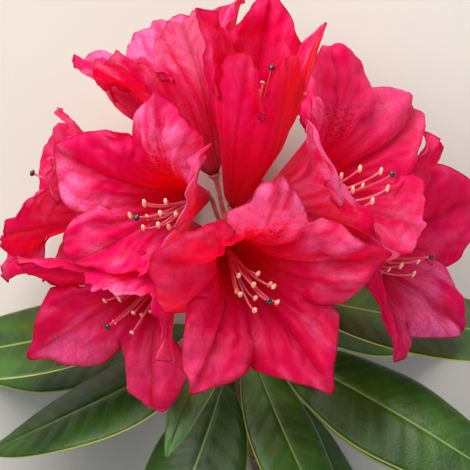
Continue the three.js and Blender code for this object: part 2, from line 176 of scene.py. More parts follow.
# ---- How lobes and leaves give way -------------------------------------------------------------
LAYER_FROM = 50  # lobes start to lie over each other this far from the truss's middle ...
LAYER_SLOPE = 0.45  # ... and do so by this share of the distance beyond that
SHEET_CLEAR = 0.5  # petals and leaves keep this far from what presses on them
STAMEN_CLEAR = 2.2  # ... and stamens this far
YIELD_SHARE = 0.12  # a petal starts to bend this share of its distance before a neighbour
YIELD_TURN = -0.35  # part of the way a petal moves aside that also turns it back
GROUND_YIELD = 7  # a petal or leaf starts to bend this far above the ground
SKIRT_YIELD = 5  # ... and this far from the cone between blooms and leaves
NEIGHBOURS_WITHIN = 100  # degrees between two blooms that can press on each other
SKIRT_DROP = 22  # blooms stay above and leaves below a cone that starts this far down ...
SKIRT_SLOPE = 0.2  # ... and falls this much with distance from the stem


def give_way(points, past, soft, way, turn, share):
    """Moves points back along way as they near their limit, and part of that along turn."""
    eased = np.where(past < -soft, past, -soft * np.exp(-np.maximum(past + soft, 0) / soft))
    excess = (past - eased)[:, None]
    return points - excess * way + share * excess * turn


def skirt_at(points):
    """Height along the stem of the cone between blooms and leaves, at each point's distance."""
    along = points @ ALONG
    return -SKIRT_DROP - SKIRT_SLOPE * np.sqrt(np.maximum((points**2).sum(1) - along**2, 0))


def level_out(points):
    """Level directions that lead away from the middle of the truss."""
    flat = points * [1, 1, 0]
    return flat / np.maximum(np.linalg.norm(flat, axis=1), 1e-6)[:, None]


def settle_petal(points, bloom, keep_off):
    """Points of a bloom, once its neighbours, the leaves and the ground have bent it."""
    p = points.copy()
    near = math.cos(math.radians(NEIGHBOURS_WITHIN))
    neighbours = [
        other for other in BLOOMS if other is not bloom and other.middle @ bloom.middle > near
    ]

    def beside(other):
        way = unit(other.middle - bloom.middle)
        far = np.linalg.norm(p, axis=1)
        overlap = LAYER_SLOPE * np.maximum(far - LAYER_FROM, 0)
        return p @ way - np.sign(bloom.layer - other.layer) * overlap + keep_off, way, far

    for other in neighbours:
        past, way, far = beside(other)
        p = give_way(p, past, YIELD_SHARE * far, way, bloom.axis, YIELD_TURN)
    p = give_way(p, skirt_at(p) - p @ ALONG + keep_off, SKIRT_YIELD, -ALONG, bloom.axis, 0.3)
    low = keep_off - TRUSS_HEIGHT
    p = give_way(p, low - p[:, 2], GROUND_YIELD, DOWN, level_out(p), 0.5)
    for other in neighbours:
        past, way, _ = beside(other)
        p = p - np.maximum(past, 0)[:, None] * way
    p[:, 2] = np.maximum(p[:, 2], low)
    return p


# ---- Making pieces -----------------------------------------------------------------------------
def stitch(rows):
    """Four-sided faces between neighbouring rows of point numbers."""
    rows = np.asarray(rows)
    corners = [rows[:-1, :-1], rows[:-1, 1:], rows[1:, 1:], rows[1:, :-1]]
    return np.stack(corners, -1).reshape(-1, 4)


def piece(name, points, faces, materials, marks=None, face_materials=None):
    """A smooth mesh on the one rigid body. marks are named numbers that its points carry."""
    mesh = bpy.data.meshes.new(name)
    mesh.from_pydata((np.asarray(points) + MIDDLE) * MM, [], [list(map(int, f)) for f in faces])
    for mark, values in (marks or {}).items():
        layer = mesh.attributes.new(mark, "FLOAT", "POINT")
        layer.data.foreach_set("value", np.asarray(values, np.float32))
    for material in materials:
        mesh.materials.append(material)
    if face_materials is not None:
        mesh.polygons.foreach_set("material_index", np.asarray(face_materials, np.int32))
    mesh.shade_smooth()
    made = bpy.data.objects.new(name, mesh)
    bpy.context.scene.collection.objects.link(made)
    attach(made, "root")
    return made


def give_body(sheet, thickness, fullness):
    """Turns a sheet into a closed skin: its first material in front, its second behind.

    fullness is each point's share of the thickness, so that margins can be thin."""
    group = sheet.vertex_groups.new(name="fullness")
    for i, share in enumerate(fullness):
        group.add([i], float(share), "REPLACE")
    solid = sheet.modifiers.new("thickness", "SOLIDIFY")
    solid.vertex_group = group.name
    solid.thickness = thickness * MM
    solid.offset = 0
    solid.material_offset = 1
    solid.material_offset_rim = 0


class Parts:
    """Points, faces and materials of several shapes, collected into one piece."""

    def __init__(self):
        self.points, self.faces, self.materials = [], [], []
        self.count = 0

    def add(self, points, faces, material):
        self.points.append(points)
        self.faces += [[int(i) + self.count for i in face] for face in faces]
        self.materials += [material] * len(faces)
        self.count += len(points)


def bezier(a, b, c, d, shares):
    t = np.asarray(shares)[:, None]
    return a * (1 - t) ** 3 + 3 * b * t * (1 - t) ** 2 + 3 * c * t**2 * (1 - t) + d * t**3


def limb(centres, radii, sides):
    """Points and faces of a closed round limb along a line of centres."""
    centres = np.asarray(centres)
    ahead = np.gradient(centres, axis=0)
    ahead /= np.linalg.norm(ahead, axis=1)[:, None]
    side = np.cross(ahead[0], [0, 0, 1] if abs(ahead[0][2]) < 0.8 else [1, 0, 0])
    turns = 2 * math.pi * np.arange(sides) / sides
    rings = []
    for centre, forward, radius in zip(centres, ahead, radii):
        side = unit(side - forward * (side @ forward))
        other = np.cross(forward, side)
        circle = np.outer(np.cos(turns), side) + np.outer(np.sin(turns), other)
        rings.append(centre + circle * np.reshape(radius, (-1, 1)))
    rows = np.arange(len(centres) * sides).reshape(-1, sides)
    faces = list(stitch(np.hstack([rows, rows[:, :1]])))
    return np.vstack(rings), faces + [rows[0][::-1], rows[-1]]


# ---- Materials ---------------------------------------------------------------------------------
WAVE_BAND = math.pi / 10  # width of one band of a wave texture whose scale is 1
SMOOTH = {"interpolation_type": "SMOOTHSTEP"}
COLOURS = {"data_type": "RGBA"}


def linear(colour):
    """An sRGB hex colour as the linear red, green, blue and alpha that a shader takes."""
    parts = [int(colour[i : i + 2], 16) / 255 for i in (1, 3, 5)]
    return [p / 12.92 if p <= 0.04045 else ((p + 0.055) / 1.055) ** 2.4 for p in parts] + [1]


def scale_of(size):
    """Scale of a pattern in metres whose features are about size millimetres apart."""
    return 1 / (size * MM)


def add(tree, kind, links=None, stops=None, **settings):
    """A node with its settings, its inputs (numbers, hex colours or outputs) and ramp stops."""
    made = tree.nodes.new("ShaderNode" + kind)
    for setting, value in settings.items():
        setattr(made, setting, value)
    for socket, value in (links or {}).items():
        if isinstance(value, bpy.types.NodeSocket):
            tree.links.new(value, made.inputs[socket])
        else:
            made.inputs[socket].default_value = linear(value) if isinstance(value, str) else value
    if stops:
        ramp = made.color_ramp
        while len(ramp.elements) < len(stops):
            ramp.elements.new(1)
        for element, (place, colour) in zip(ramp.elements, stops):
            element.position = place
            element.color = linear(colour)
    return made


def new_material(name):
    material = bpy.data.materials.new(name)
    material.use_nodes = True
    material.node_tree.nodes.clear()
    return material, material.node_tree


PETAL_GLOW = 0.68  # share of a petal's light that has come through it
WARM_RED = "#D81020"  # pigment of the petals that are more scarlet than the rest
NECTAR_MARK = "#4A0414"
# Scales of the petal's streaks and fine veins, across a lobe and along the petal. A lobe is
# about 56 mm wide and a petal 82 mm long, so streaks are 8 by 20 mm and fine veins 1.1 by 16 mm.
PETAL_STREAKS = (7.0, 4.0, 1.0)
PETAL_FINE_VEINS = (52.0, 5.0, 1.0)
PETAL_SIDE_VEINS = 8  # millimetres between two of them


def petal_tissue(name, throat, wall, lobe, edge, pale_tint_and_highlight, vein, haze, speckled):
    """Petal: thin living tissue with papillate skin cells, which scatter a soft, velvety light.

    Light passes through it and comes out redder, veins run from the midrib to the margin, and
    the upper lobe carries dark nectar marks inside the throat."""
    material, tree = new_material(name)
    reach = add(tree, "Attribute", attribute_name="reach").outputs["Fac"]
    aside = add(tree, "Attribute", attribute_name="aside").outputs["Fac"]
    turn = add(tree, "Attribute", attribute_name="turn").outputs["Fac"]
    place = add(tree, "TexCoord").outputs["Object"]
    # The colour deepens to a dark red towards the foot of the funnel: partly the petal's own
    # deeper red, partly painted shade down in the throat.
    stops = [(0.0, throat), (0.3, wall), (0.6, lobe), (0.9, lobe), (1.0, edge)]
    base = add(tree, "ValToRGB", {"Fac": reach}, stops=stops).outputs["Color"]
    # Pale haze, partly where pigment thins out and partly painted highlight on lobes that face the
    # light:
    # patches 30 mm wide with streaks in them, broken up by groups of skin cells, drawn as coarse
    # as 0.8 mm so that they show.
    flat = add(tree, "CombineXYZ", {0: turn, 1: reach}).outputs[0]
    long = add(tree, "Mapping", {"Vector": flat, "Scale": PETAL_STREAKS}).outputs[0]
    streak = add(tree, "TexNoise", {"Vector": long, "Scale": 1.0, "Detail": 4.0}).outputs["Fac"]
    patches = {"Vector": place, "Scale": scale_of(33.33), "Detail": 1.0}
    patch = add(tree, "TexNoise", patches).outputs["Fac"]
    cloud = add(tree, "Math", {0: streak, 1: patch}, operation="ADD").outputs[0]
    cloud = {0: cloud, 1: 0.86, 2: 1.22, 3: 0.0, 4: haze}
    cloud = add(tree, "MapRange", cloud, **SMOOTH).outputs[0]
    pale = add(tree, "Attribute", attribute_name="pale").outputs["Fac"]
    cloud = add(tree, "Math", {0: cloud, 1: pale}, operation="MULTIPLY").outputs[0]
    cells = {"Vector": place, "Scale": scale_of(0.8333), "Detail": 2.0}
    cells = add(tree, "TexNoise", cells).outputs["Fac"]
    cells = add(tree, "MapRange", {0: cells, 1: 0.35, 2: 0.62, 3: 0.62, 4: 1.08}).outputs[0]
    cloud = add(tree, "Math", {0: cloud, 1: cells}, operation="MULTIPLY").outputs[0]
    warm = add(tree, "Attribute", attribute_name="warm").outputs["Fac"]
    base = add(tree, "Mix", {0: warm, 6: base, 7: WARM_RED}, **COLOURS).outputs[2]
    base = add(tree, "Mix", {0: cloud, 6: base, 7: pale_tint_and_highlight}, **COLOURS).outputs[2]
    # Fine veins that run out from the throat.
    thin = add(tree, "Mapping", {"Vector": flat, "Scale": PETAL_FINE_VEINS}).outputs[0]
    thin = add(tree, "TexNoise", {"Vector": thin, "Scale": 1.0, "Detail": 2.0}).outputs["Fac"]
    thin = add(tree, "MapRange", {0: thin, 1: 0.5, 2: 0.68, 3: 0.0, 4: 0.3}, **SMOOTH).outputs[0]
    base = add(tree, "Mix", {0: thin, 6: base, 7: lobe}, **COLOURS).outputs[2]
    # The midrib: a deep line 1 to 2 mm wide.
    rib = add(tree, "MapRange", {0: aside, 1: 0.0, 2: 0.12, 3: 0.45, 4: 0.0}, **SMOOTH).outputs[0]
    base = add(tree, "Mix", {0: rib, 6: base, 7: vein}, **COLOURS).outputs[2]
    # Side veins that lean forward from the midrib.
    lean = add(tree, "Math", {0: aside, 1: 0.22}, operation="MULTIPLY").outputs[0]
    climb = add(tree, "Math", {0: reach, 1: lean}, operation="SUBTRACT").outputs[0]
    bent = add(tree, "CombineXYZ", {0: climb, 1: aside}).outputs[0]
    waves = {"Vector": bent, "Scale": WAVE_BAND * PETAL_LENGTH / PETAL_SIDE_VEINS}
    waves.update({"Distortion": 1.6, "Detail": 2.0, "Detail Scale": 3.0})
    veins = add(tree, "TexWave", waves, bands_direction="X").outputs["Fac"]
    line = add(tree, "MapRange", {0: veins, 1: 0.78, 2: 1.0, 3: 0.0, 4: 0.15}, **SMOOTH).outputs[0]
    base = add(tree, "Mix", {0: line, 6: base, 7: vein}, **COLOURS).outputs[2]
    # A deep red line along the margin, about 1 mm wide: painted shade where the margin turns back.
    margin = add(tree, "Attribute", attribute_name="margin").outputs["Fac"]
    rim = {0: margin, 1: 0.955, 2: 0.99, 3: 0.0, 4: 0.78}
    rim = add(tree, "MapRange", rim, **SMOOTH).outputs[0]
    base = add(tree, "Mix", {0: rim, 6: base, 7: vein}, **COLOURS).outputs[2]
    if speckled:
        # Nectar marks about 1 mm across, a little more than that apart.
        spots = {"Vector": place, "Scale": scale_of(1.4286)}
        spots = add(tree, "TexVoronoi", spots).outputs["Distance"]
        spots = add(tree, "MapRange", {0: spots, 1: 0.42, 2: 0.28, 3: 0.0, 4: 1.0}).outputs[0]
        field = add(tree, "Attribute", attribute_name="marked").outputs["Fac"]
        spots = add(tree, "Math", {0: spots, 1: field}, operation="MULTIPLY").outputs[0]
        base = add(tree, "Mix", {0: spots, 6: base, 7: NECTAR_MARK}, **COLOURS).outputs[2]
    # Relief: the skin's grain, drawn as coarse as 0.7 mm so that it shows, and sunken side veins.
    grain = {"Vector": place, "Scale": scale_of(0.7143), "Detail": 2.0}
    grain = add(tree, "TexNoise", grain).outputs["Fac"]
    relief = add(tree, "Math", {0: grain, 1: 0.25}, operation="MULTIPLY").outputs[0]
    relief = add(tree, "Math", {0: relief, 1: veins}, operation="SUBTRACT").outputs[0]
    bump = add(tree, "Bump", {"Height": relief, "Strength": 0.35, "Distance": 0.3 * MM}).outputs[0]
    skin = add(
        tree,
        "BsdfPrincipled",
        {
            "Base Color": base,
            "Roughness": 0.42,
            "IOR": 1.42,
            "Specular IOR Level": 0.25,
            "Sheen Weight": 0.06,
            "Sheen Roughness": 0.4,
            "Sheen Tint": "#F0A8E0",
            "Normal": bump,
        },
    ).outputs[0]
    shine = add(tree, "Mix", {0: 0.66, 6: base, 7: "#FF0C12"}, **COLOURS).outputs[2]
    back_light = add(tree, "BsdfTranslucent", {"Color": shine, "Normal": bump}).outputs[0]
    both = add(tree, "MixShader", {0: PETAL_GLOW, 1: skin, 2: back_light}).outputs[0]
    add(tree, "OutputMaterial", {"Surface": both})
    return material


def plain_tissue(name, colours, grain, roughness, relief, sheen=0.0, through=0.0):
    """Stalks, filaments, anthers and the like: soft tissue with uneven colour and fine relief.

    grain is the size of its patches and relief their height, in millimetres. through is the
    share of light that comes through the tissue."""
    material, tree = new_material(name)
    place = add(tree, "TexCoord").outputs["Object"]
    pattern = {"Vector": place, "Scale": scale_of(grain), "Detail": 4.0}
    pattern = add(tree, "TexNoise", pattern).outputs["Fac"]
    stops = [(0.3 + 0.4 * i / (len(colours) - 1), c) for i, c in enumerate(colours)]
    base = add(tree, "ValToRGB", {"Fac": pattern}, stops=stops).outputs["Color"]
    bump = {"Height": pattern, "Strength": 0.6, "Distance": relief * MM}
    bump = add(tree, "Bump", bump).outputs[0]
    skin = {"Base Color": base, "Roughness": roughness, "Sheen Weight": sheen, "Normal": bump}
    skin = add(tree, "BsdfPrincipled", skin).outputs[0]
    if through:
        lit = add(tree, "BsdfTranslucent", {"Color": base}).outputs[0]
        skin = add(tree, "MixShader", {0: through, 1: skin, 2: lit}).outputs[0]
    add(tree, "OutputMaterial", {"Surface": skin})
    return material


LEAF_TYPICAL = 120  # the mark share rises by 1 over this many millimetres of leaf
LEAF_SIDE_VEINS = 8.195  # millimetres between two of them
LEAF_GLOW = 0.08  # share of a leaf's light that has come through it


def leaf_skin(name, dark, light, vein, edge, gloss, upper):
    """Leaf: tough, leathery blade under a waxy skin, which gives broad soft highlights.

    The midrib and thin margin are paler and yellower than the blade, and side veins show as
    shallow channels above and low ridges below."""
    material, tree = new_material(name)
    share = add(tree, "Attribute", attribute_name="share").outputs["Fac"]
    aside = add(tree, "Attribute", attribute_name="aside").outputs["Fac"]
    across = add(tree, "Attribute", attribute_name="across").outputs["Fac"]
    place = add(tree, "TexCoord").outputs["Object"]
    cloud = {"Vector": place, "Scale": scale_of(22.22), "Detail": 4.0}
    cloud = add(tree, "TexNoise", cloud).outputs["Fac"]
    stops = [(0.35, dark), (0.68, light)]
    base = add(tree, "ValToRGB", {"Fac": cloud}, stops=stops).outputs["Color"]
    # Side veins: evenly spaced along the blade, swept forward towards the margin.
    sweep = add(tree, "Math", {0: aside, 1: 0.09}, operation="MULTIPLY").outputs[0]
    climb = add(tree, "Math", {0: share, 1: sweep}, operation="SUBTRACT").outputs[0]
    bent = add(tree, "CombineXYZ", {0: climb, 1: across}).outputs[0]
    waves = {"Vector": bent, "Scale": WAVE_BAND * LEAF_TYPICAL / LEAF_SIDE_VEINS}
    waves.update({"Distortion": 1.0, "Detail": 2.0, "Detail Scale": 2.0})
    veins = add(tree, "TexWave", waves, bands_direction="X").outputs["Fac"]
    line = add(tree, "MapRange", {0: veins, 1: 0.86, 2: 1.0, 3: 0.0, 4: 0.05}, **SMOOTH).outputs[0]
    base = add(tree, "Mix", {0: line, 6: base, 7: vein}, **COLOURS).outputs[2]
    # The midrib and the margin, each a line about 1 mm wide.
    rib = {0: aside, 1: 0.012, 2: 0.04, 3: 0.65, 4: 0.0}
    rib = add(tree, "MapRange", rib, **SMOOTH).outputs[0]
    base = add(tree, "Mix", {0: rib, 6: base, 7: vein}, **COLOURS).outputs[2]
    rim = {0: aside, 1: 0.965, 2: 0.985, 3: 0.0, 4: 0.9}
    rim = add(tree, "MapRange", rim, **SMOOTH).outputs[0]
    base = add(tree, "Mix", {0: rim, 6: base, 7: edge}, **COLOURS).outputs[2]
    # Relief: side veins and, between them, a net of fine veins about 2 mm apart.
    net = {"Vector": place, "Scale": scale_of(1.923)}
    net = add(tree, "TexVoronoi", net, feature="DISTANCE_TO_EDGE").outputs["Distance"]
    sunken = -1.0 if upper else 1.0
    relief = add(tree, "Math", {0: veins, 1: sunken}, operation="MULTIPLY").outputs[0]
    relief = add(tree, "Math", {0: net, 1: relief}, operation="ADD").outputs[0]
    bump = add(tree, "Bump", {"Height": relief, "Strength": 0.4, "Distance": 0.35 * MM}).outputs[0]
    skin = add(
        tree,
        "BsdfPrincipled",
        {
            "Base Color": base,
            "Roughness": gloss,
            "IOR": 1.45,
            "Specular IOR Level": 0.4,
            "Coat Weight": 0.08 if upper else 0.0,
            "Coat Roughness": 0.32,
            "Normal": bump,
        },
    ).outputs[0]
    lit = add(tree, "BsdfTranslucent", {"Color": light}).outputs[0]
    both = add(tree, "MixShader", {0: LEAF_GLOW, 1: skin, 2: lit}).outputs[0]
    add(tree, "OutputMaterial", {"Surface": both})
    return material


def young_bark(name):
    """Second-year bark: grey-brown, dry, with fine lengthwise cracks about 1 mm apart."""
    material, tree = new_material(name)
    place = add(tree, "TexCoord").outputs["Object"]
    lengthwise = {"Vector": place, "Rotation": (-RISE, 0, 0), "Scale": (1, 0.16, 1)}
    lengthwise = add(tree, "Mapping", lengthwise).outputs[0]
    cracks = {"Vector": lengthwise, "Scale": scale_of(1.111), "Detail": 5.0}
    cracks = add(tree, "TexNoise", cracks).outputs["Fac"]
    stops = [(0.3, "#3A2A1E"), (0.5, "#6E4E38"), (0.72, "#9C8266")]
    base = add(tree, "ValToRGB", {"Fac": cracks}, stops=stops).outputs["Color"]
    bump = add(tree, "Bump", {"Height": cracks, "Strength": 0.8, "Distance": 0.6 * MM}).outputs[0]
    skin = {"Base Color": base, "Roughness": 0.82, "Normal": bump}
    skin = add(tree, "BsdfPrincipled", skin).outputs[0]
    add(tree, "OutputMaterial", {"Surface": skin})
    return material


PETAL_INNER = petal_tissue(
    "petal_inner_skin",
    throat="#B00C14",
    wall="#D20C3A",
    lobe="#E60C78",
    edge="#EC2890",
    pale_tint_and_highlight="#FA94E4",
    vein="#AC0428",
    haze=1.0,
    speckled=True,
)
# The outside of the funnel carries more pale haze: partly paler pigment, partly painted highlight
# where light falls on it.
PETAL_OUTER = petal_tissue(
    "petal_outer_skin",
    throat="#B20C14",
    wall="#D80E50",
    lobe="#EC1A8C",
    edge="#EE4CA0",
    pale_tint_and_highlight="#FAA0E4",
    vein="#A80428",
    haze=1.5,
    speckled=False,
)
# Dark, deep green above and dull, paler green below. Young leaves are lighter and yellower.
LEAF_UPPER = leaf_skin("leaf_upper_skin", "#1A3808", "#345C14", "#849E4A", "#B0B85A", 0.42, True)
LEAF_UNDER = leaf_skin("leaf_under_skin", "#55763F", "#7C9A5C", "#A7B777", "#A9B765", 0.6, False)
YOUNG_UPPER = leaf_skin(
    "young_leaf_upper_skin", "#35602A", "#5C8A40", "#A9BE6A", "#B3A45C", 0.4, True
)
YOUNG_UNDER = leaf_skin(
    "young_leaf_under_skin", "#6C8C4C", "#8CA868", "#AEBE80", "#B3A45C", 0.6, False
)
BARK = young_bark("young_bark")
# Red to tan stalks, whose short down gives them a soft edge of light.
STALK = plain_tissue("downy_stalk", ["#7C1C1E", "#A83A30", "#9C6A3C"], 4, 0.5, 0.08, sheen=0.4)
# Pink threads, smooth and a little see-through.
FILAMENT = plain_tissue("stamen_filament", ["#F07098", "#FFB0C8"], 6, 0.42, 0.02, through=0.3)
STYLE = plain_tissue("style", ["#D2305C", "#EE6A88"], 6, 0.4, 0.02, through=0.25)
# Dry, dull sacs from tan to cream, and a nearly black stigma that is wet and shines.
ANTHER = plain_tissue("pollen_sac", ["#D07840", "#F2C494", "#FFE4CC"], 0.8, 0.55, 0.05)
STIGMA = plain_tissue("sticky_stigma", ["#100C0C", "#2C2022", "#4A3C3A"], 0.8, 0.22, 0.08)
CUT_WOOD = plain_tissue("cut_wood", ["#B89A6A", "#D9C496"], 1.2, 0.7, 0.05)  # pale and dry

# ---- Corolla -----------------------------------------------------------------------------------
WAVE_HEIGHT = 3  # height of the one long wave along each side of a lobe
TWIST = 3.5  # most that a lobe leans over to one side
RIB_DEPTH = 1.6  # depth of the trough along the midrib ...
GROOVE_DEPTH = 0.7  # ... and of the narrow groove in it
SIDE_ROLL = 4.5  # how far a lobe's sides roll back
SLIM = 0.2  # share of its width that a lobe loses towards its tip
PILLOW = 1.2  # rise of the petal between its midrib and its margin
FLARE = 72  # degrees that a fully spread lobe turns from the bloom's axis, and how this varies
FLARE_VARIES = 8
UPPER_FLARE = 6  # what the upper lobe turns more
CURL = 12  # degrees that a lobe curls back beyond that, and as much more or less
BLUNTNESS = 1.55  # how square a lobe's shoulders are, and how this varies
BLUNTNESS_VARIES = 0.35
PLEAT = 0.8  # height of the long folds that run out from the throat
PLEATS_ROUND = (13, 21)  # pleats round the bloom, in two sizes
CREASE = 1.4  # depth of the creases
SWELL = 1.1  # height of the soft swells
RUFFLE = 1.5  # height of the short waves along a lobe's margin
RUFFLES_ROUND = (8, 15, 29)  # ruffles per radian round a lobe, in three sizes
HEM = 1.7  # how far the last millimetres of the margin turn back
CUP = (-1.5, 3.5)  # a lobe's sides stand up from its midrib between these heights
LAP = 1.1  # one side of a lobe is raised and the other lowered by this, to lie over a neighbour
POINT = (0.02, 0.12)  # share of its length by which a lobe's tip is drawn out
POINT_KEPT = (1.5, 0.2)  # how much of that point a slender and a rounded lobe of their own have
ROUNDED_FROM = 1.5  # bluntness from which such a lobe counts as rounded
CALM = 0.3  # how much of the common wave and twist a lobe with its own form keeps
LOBE_OVERLAP = 0.3  # share of its width by which a lobe runs over and under its neighbours
# Lobes that stand apart: how far their sides fold back, the share of their width that they
# keep, how blunt they are and how much pale haze, partly painted highlight, they carry.
OWN_FORMS = {
    ("front", 0): (-2, 0.76, 1.3, 1.5),
    ("front", 1): (3, 0.86, 1.1, 0.6),
    ("front", 2): (2, 0.9, 1.15, 0.5),
    ("front", 3): (1, 0.92, 1.2, 0.3),
    ("left", 0): (11, 0.76, 1.3, 1.5),
    ("lower_left", 2): (9, 0.7, 1.3, 0.3),
    ("lower_left", 3): (4, 0.82, 1.2, 0.6),
    ("upper_right", 4): (-3, 1.25, 1.8, 1.4),
    ("right", 2): (2, 0.85, 1.1, 1.0),
    ("top_left", 0): (1, 1.0, 2.2, 1.3),
    ("top_left", 1): (1, 1.0, 2.2, 1.4),
    ("top_left", 2): (1, 1.0, 2.2, 1.3),
    ("top_left", 4): (1, 1.0, 2.2, 1.3),
    ("top_right", 3): (-4, 1.1, 2.4, 1.0),
}
COMMON_FORM = (0, 1, None, None)  # all other lobes
COMMON_HAZE = (0.1, 0.9)  # least and greatest share of pale haze, partly painted highlight, on all other lobes ...
BLOOM_HAZE = {"top_left": 0.6, "upper_right": 0.15, "left": 0.2}  # ... and what these blooms add
WARM = 0.1  # share of scarlet in a bloom's colour, and the blooms that have a share of their own
WARM_BLOOMS = {"front": 0.35, "left": 0, "top_left": 0, "right": 0.05, "lower_left": 0.2}
MARKS_FROM, MARKS_TO = 22, 60  # the nectar marks' stretch of the upper lobe, from its foot
BLOOM_APART = 7  # lobes by which the streaks of one bloom are moved on from the last one's
LOBE_COLUMNS = 38
LOBE_ROWS = 30
FUNNEL_ROWS = 16
MERIDIAN_STEPS = 24
MARGIN_THINNED = 0.75  # share of its thickness that a petal loses at its margin
THROAT_HAZE = 0.15  # share of a lobe's pale haze that reaches down into the throat


def traits_of(bloom, lobe):
    """What tells one lobe from the next: flare and curl in degrees, bluntness, wave and twist.

    Sines that are out of step with each other spread these over the blooms."""
    count = LOBES * bloom.number + lobe
    upper = UPPER_FLARE if lobe == 0 else 0
    flare = FLARE + upper + FLARE_VARIES * math.sin(2.4 * count + 1.1)
    curl = CURL + CURL * math.sin(1.9 * count + 0.4)
    blunt = BLUNTNESS + BLUNTNESS_VARIES * math.sin(3.1 * count + 0.5)
    return flare, curl, blunt, 1.7 * count, TWIST * math.sin(2.9 * count + 0.8)


def pale_share(bloom, lobe):
    """How much pale haze a lobe carries: partly paler pigment, partly painted highlight."""
    if (bloom.name, lobe) in OWN_FORMS:
        return OWN_FORMS[bloom.name, lobe][3]
    drawn = np.random.default_rng(1000 + LOBES * bloom.number + lobe).uniform(*COMMON_HAZE)
    return drawn + BLOOM_HAZE.get(bloom.name, 0)


def meridian(distance, flare, curl):
    """Radius, height and slope of the petal at a distance along it from the foot."""
    radius, height = FOOT_RADIUS, 0.0
    step = distance / MERIDIAN_STEPS
    for i in range(MERIDIAN_STEPS):
        at = step * (i + 0.5)
        turned = smooth((at - FLARE_FROM) / (FLARE_TO - FLARE_FROM))
        curled = smooth((at - CURL_FROM) / (CURL_TO - CURL_FROM))
        slope = FUNNEL_SLOPE + (flare - FUNNEL_SLOPE) * turned + curl * curled
        radius = radius + step * np.sin(np.radians(slope))
        height = height + step * np.cos(np.radians(slope))
    radius = radius - FOOT_TUCK * (1 - smooth(distance / FOOT_TUCK_LENGTH))
    return radius, height, np.radians(slope)


def petal_points(bloom, lobe, across, up, distance=None):
    """Points of the petal. across runs from -1 to 1 over a lobe, up from its notch to its edge."""
    draw = np.random.default_rng(100 * bloom.number + lobe)
    phase = draw.uniform(0, 2 * math.pi, 4)
    hand, side = np.where(across < 0, -1, 1), np.abs(across)
    own, curl, blunt, wave_start, twist = traits_of(bloom, lobe)
    fold, kept, own_blunt, _ = OWN_FORMS.get((bloom.name, lobe), COMMON_FORM)
    before = traits_of(bloom, (lobe - 1) % LOBES)[0]
    after = traits_of(bloom, (lobe + 1) % LOBES)[0]
    flare = own + (np.where(hand < 0, before, after) - own) * side**2 / 2 * (1 - up)
    flare = FUNNEL_SLOPE + (flare - FUNNEL_SLOPE) * bloom.spread
    if distance is None:
        point = draw.uniform(*POINT) * np.exp(-((across / 0.16) ** 2)) * smooth((up - 0.6) / 0.4)
        if own_blunt:
            blunt, point = own_blunt, point * POINT_KEPT[own_blunt > ROUNDED_FROM]
        distance = FUNNEL_LENGTH + LOBE_LENGTH * up * (1 - 0.5 * side**blunt + point)
    radius, height, slope = meridian(distance, flare, curl * up * bloom.spread)
    width = 1 - 0.05 * np.sqrt(up) - SLIM * up**1.5 + LOBE_OVERLAP * smooth(up * 2.5)
    width = width * (1 - (1 - kept) * smooth(up * 2))
    turn = np.radians(360 / LOBES) * (lobe + across * width / 2)
    # The large forms: a wave along each margin, a twist, and sides that roll back.
    wave = WAVE_HEIGHT * up * side**1.5 * np.sin(4.2 * up + 1.6 * across + wave_start)
    wave = (wave + twist * across * up) * (CALM if own_blunt else 1)
    lift = wave - SIDE_ROLL * up**0.8 * side**2.5
    # The midrib: a broad trough with a narrow groove in it, deepest where the lobe opens.
    rib = smooth((distance - 20) / 30)
    lift = lift - RIB_DEPTH * rib * np.exp(-((across / 0.25) ** 2)) * (1 - 0.2 * up)
    lift = lift - GROOVE_DEPTH * rib * np.exp(-((across / 0.07) ** 2))
    # Pleats that fan out from the throat and fade towards the margin.
    round_bloom = 2 * math.pi * (lobe + across / 2) / LOBES + bloom.number
    pleats = np.sin(PLEATS_ROUND[0] * round_bloom) + 0.8 * np.sin(PLEATS_ROUND[1] * round_bloom)
    lift = lift + PLEAT * rib * (1 - 0.5 * up) * pleats
    # Creases where the petal was folded in the bud.
    crease = np.abs(ripple(across * 1.5, distance / 17, 900 + LOBES * bloom.number + lobe))
    lift = lift + CREASE * smooth((distance - 30) / 25) * smooth(up * 4) * (crease - 0.4)
    # Soft swells, ruffles that follow the margin round, and a hem that turns back.
    lift = lift + PILLOW * np.sqrt(up) * np.sin(math.pi * side**0.9)
    swell = ripple(across * 1.2, distance / 24, LOBES * bloom.number + lobe)
    lift = lift + SWELL * smooth((distance - 24) / 30) * smooth(up * 4) * swell
    round_lobe = np.arctan2(across * 1.3, up + 1e-6)
    margin = up * smooth(((side**4 + up**4) ** 0.25 - 0.55) / 0.5)
    ruffle = 0
    for share, count, start in zip((1, 0.6, 0.3), RUFFLES_ROUND, phase):
        ruffle = ruffle + share * np.sin(count * round_lobe + start)
    lift = lift + RUFFLE * draw.uniform(0.5, 1.4) * margin * ruffle
    hem = smooth(((side**6 + up**6) ** (1 / 6) - 0.88) / 0.12) * smooth(up * 4)
    lift = lift - HEM * hem * (1 + 0.6 * np.sin(5 * round_lobe + phase[3]))
    # Each lobe is a little cupped or ridged along its midrib, and lies over one neighbour.
    lift = lift + draw.uniform(*CUP) * side * up
    lift = lift + LAP * hand * side**2 * smooth(up * 5)
    lift = lift - fold * side**1.4 * up
    r = bloom.size * (radius - lift * np.cos(slope))
    h = bloom.size * (height + lift * np.sin(slope))
    raw = bloom.foot + np.outer(h, bloom.axis)
    raw = raw + np.outer(r * np.cos(turn), bloom.up) + np.outer(r * np.sin(turn), bloom.side)
    return settle_petal(raw, bloom, SHEET_CLEAR), distance


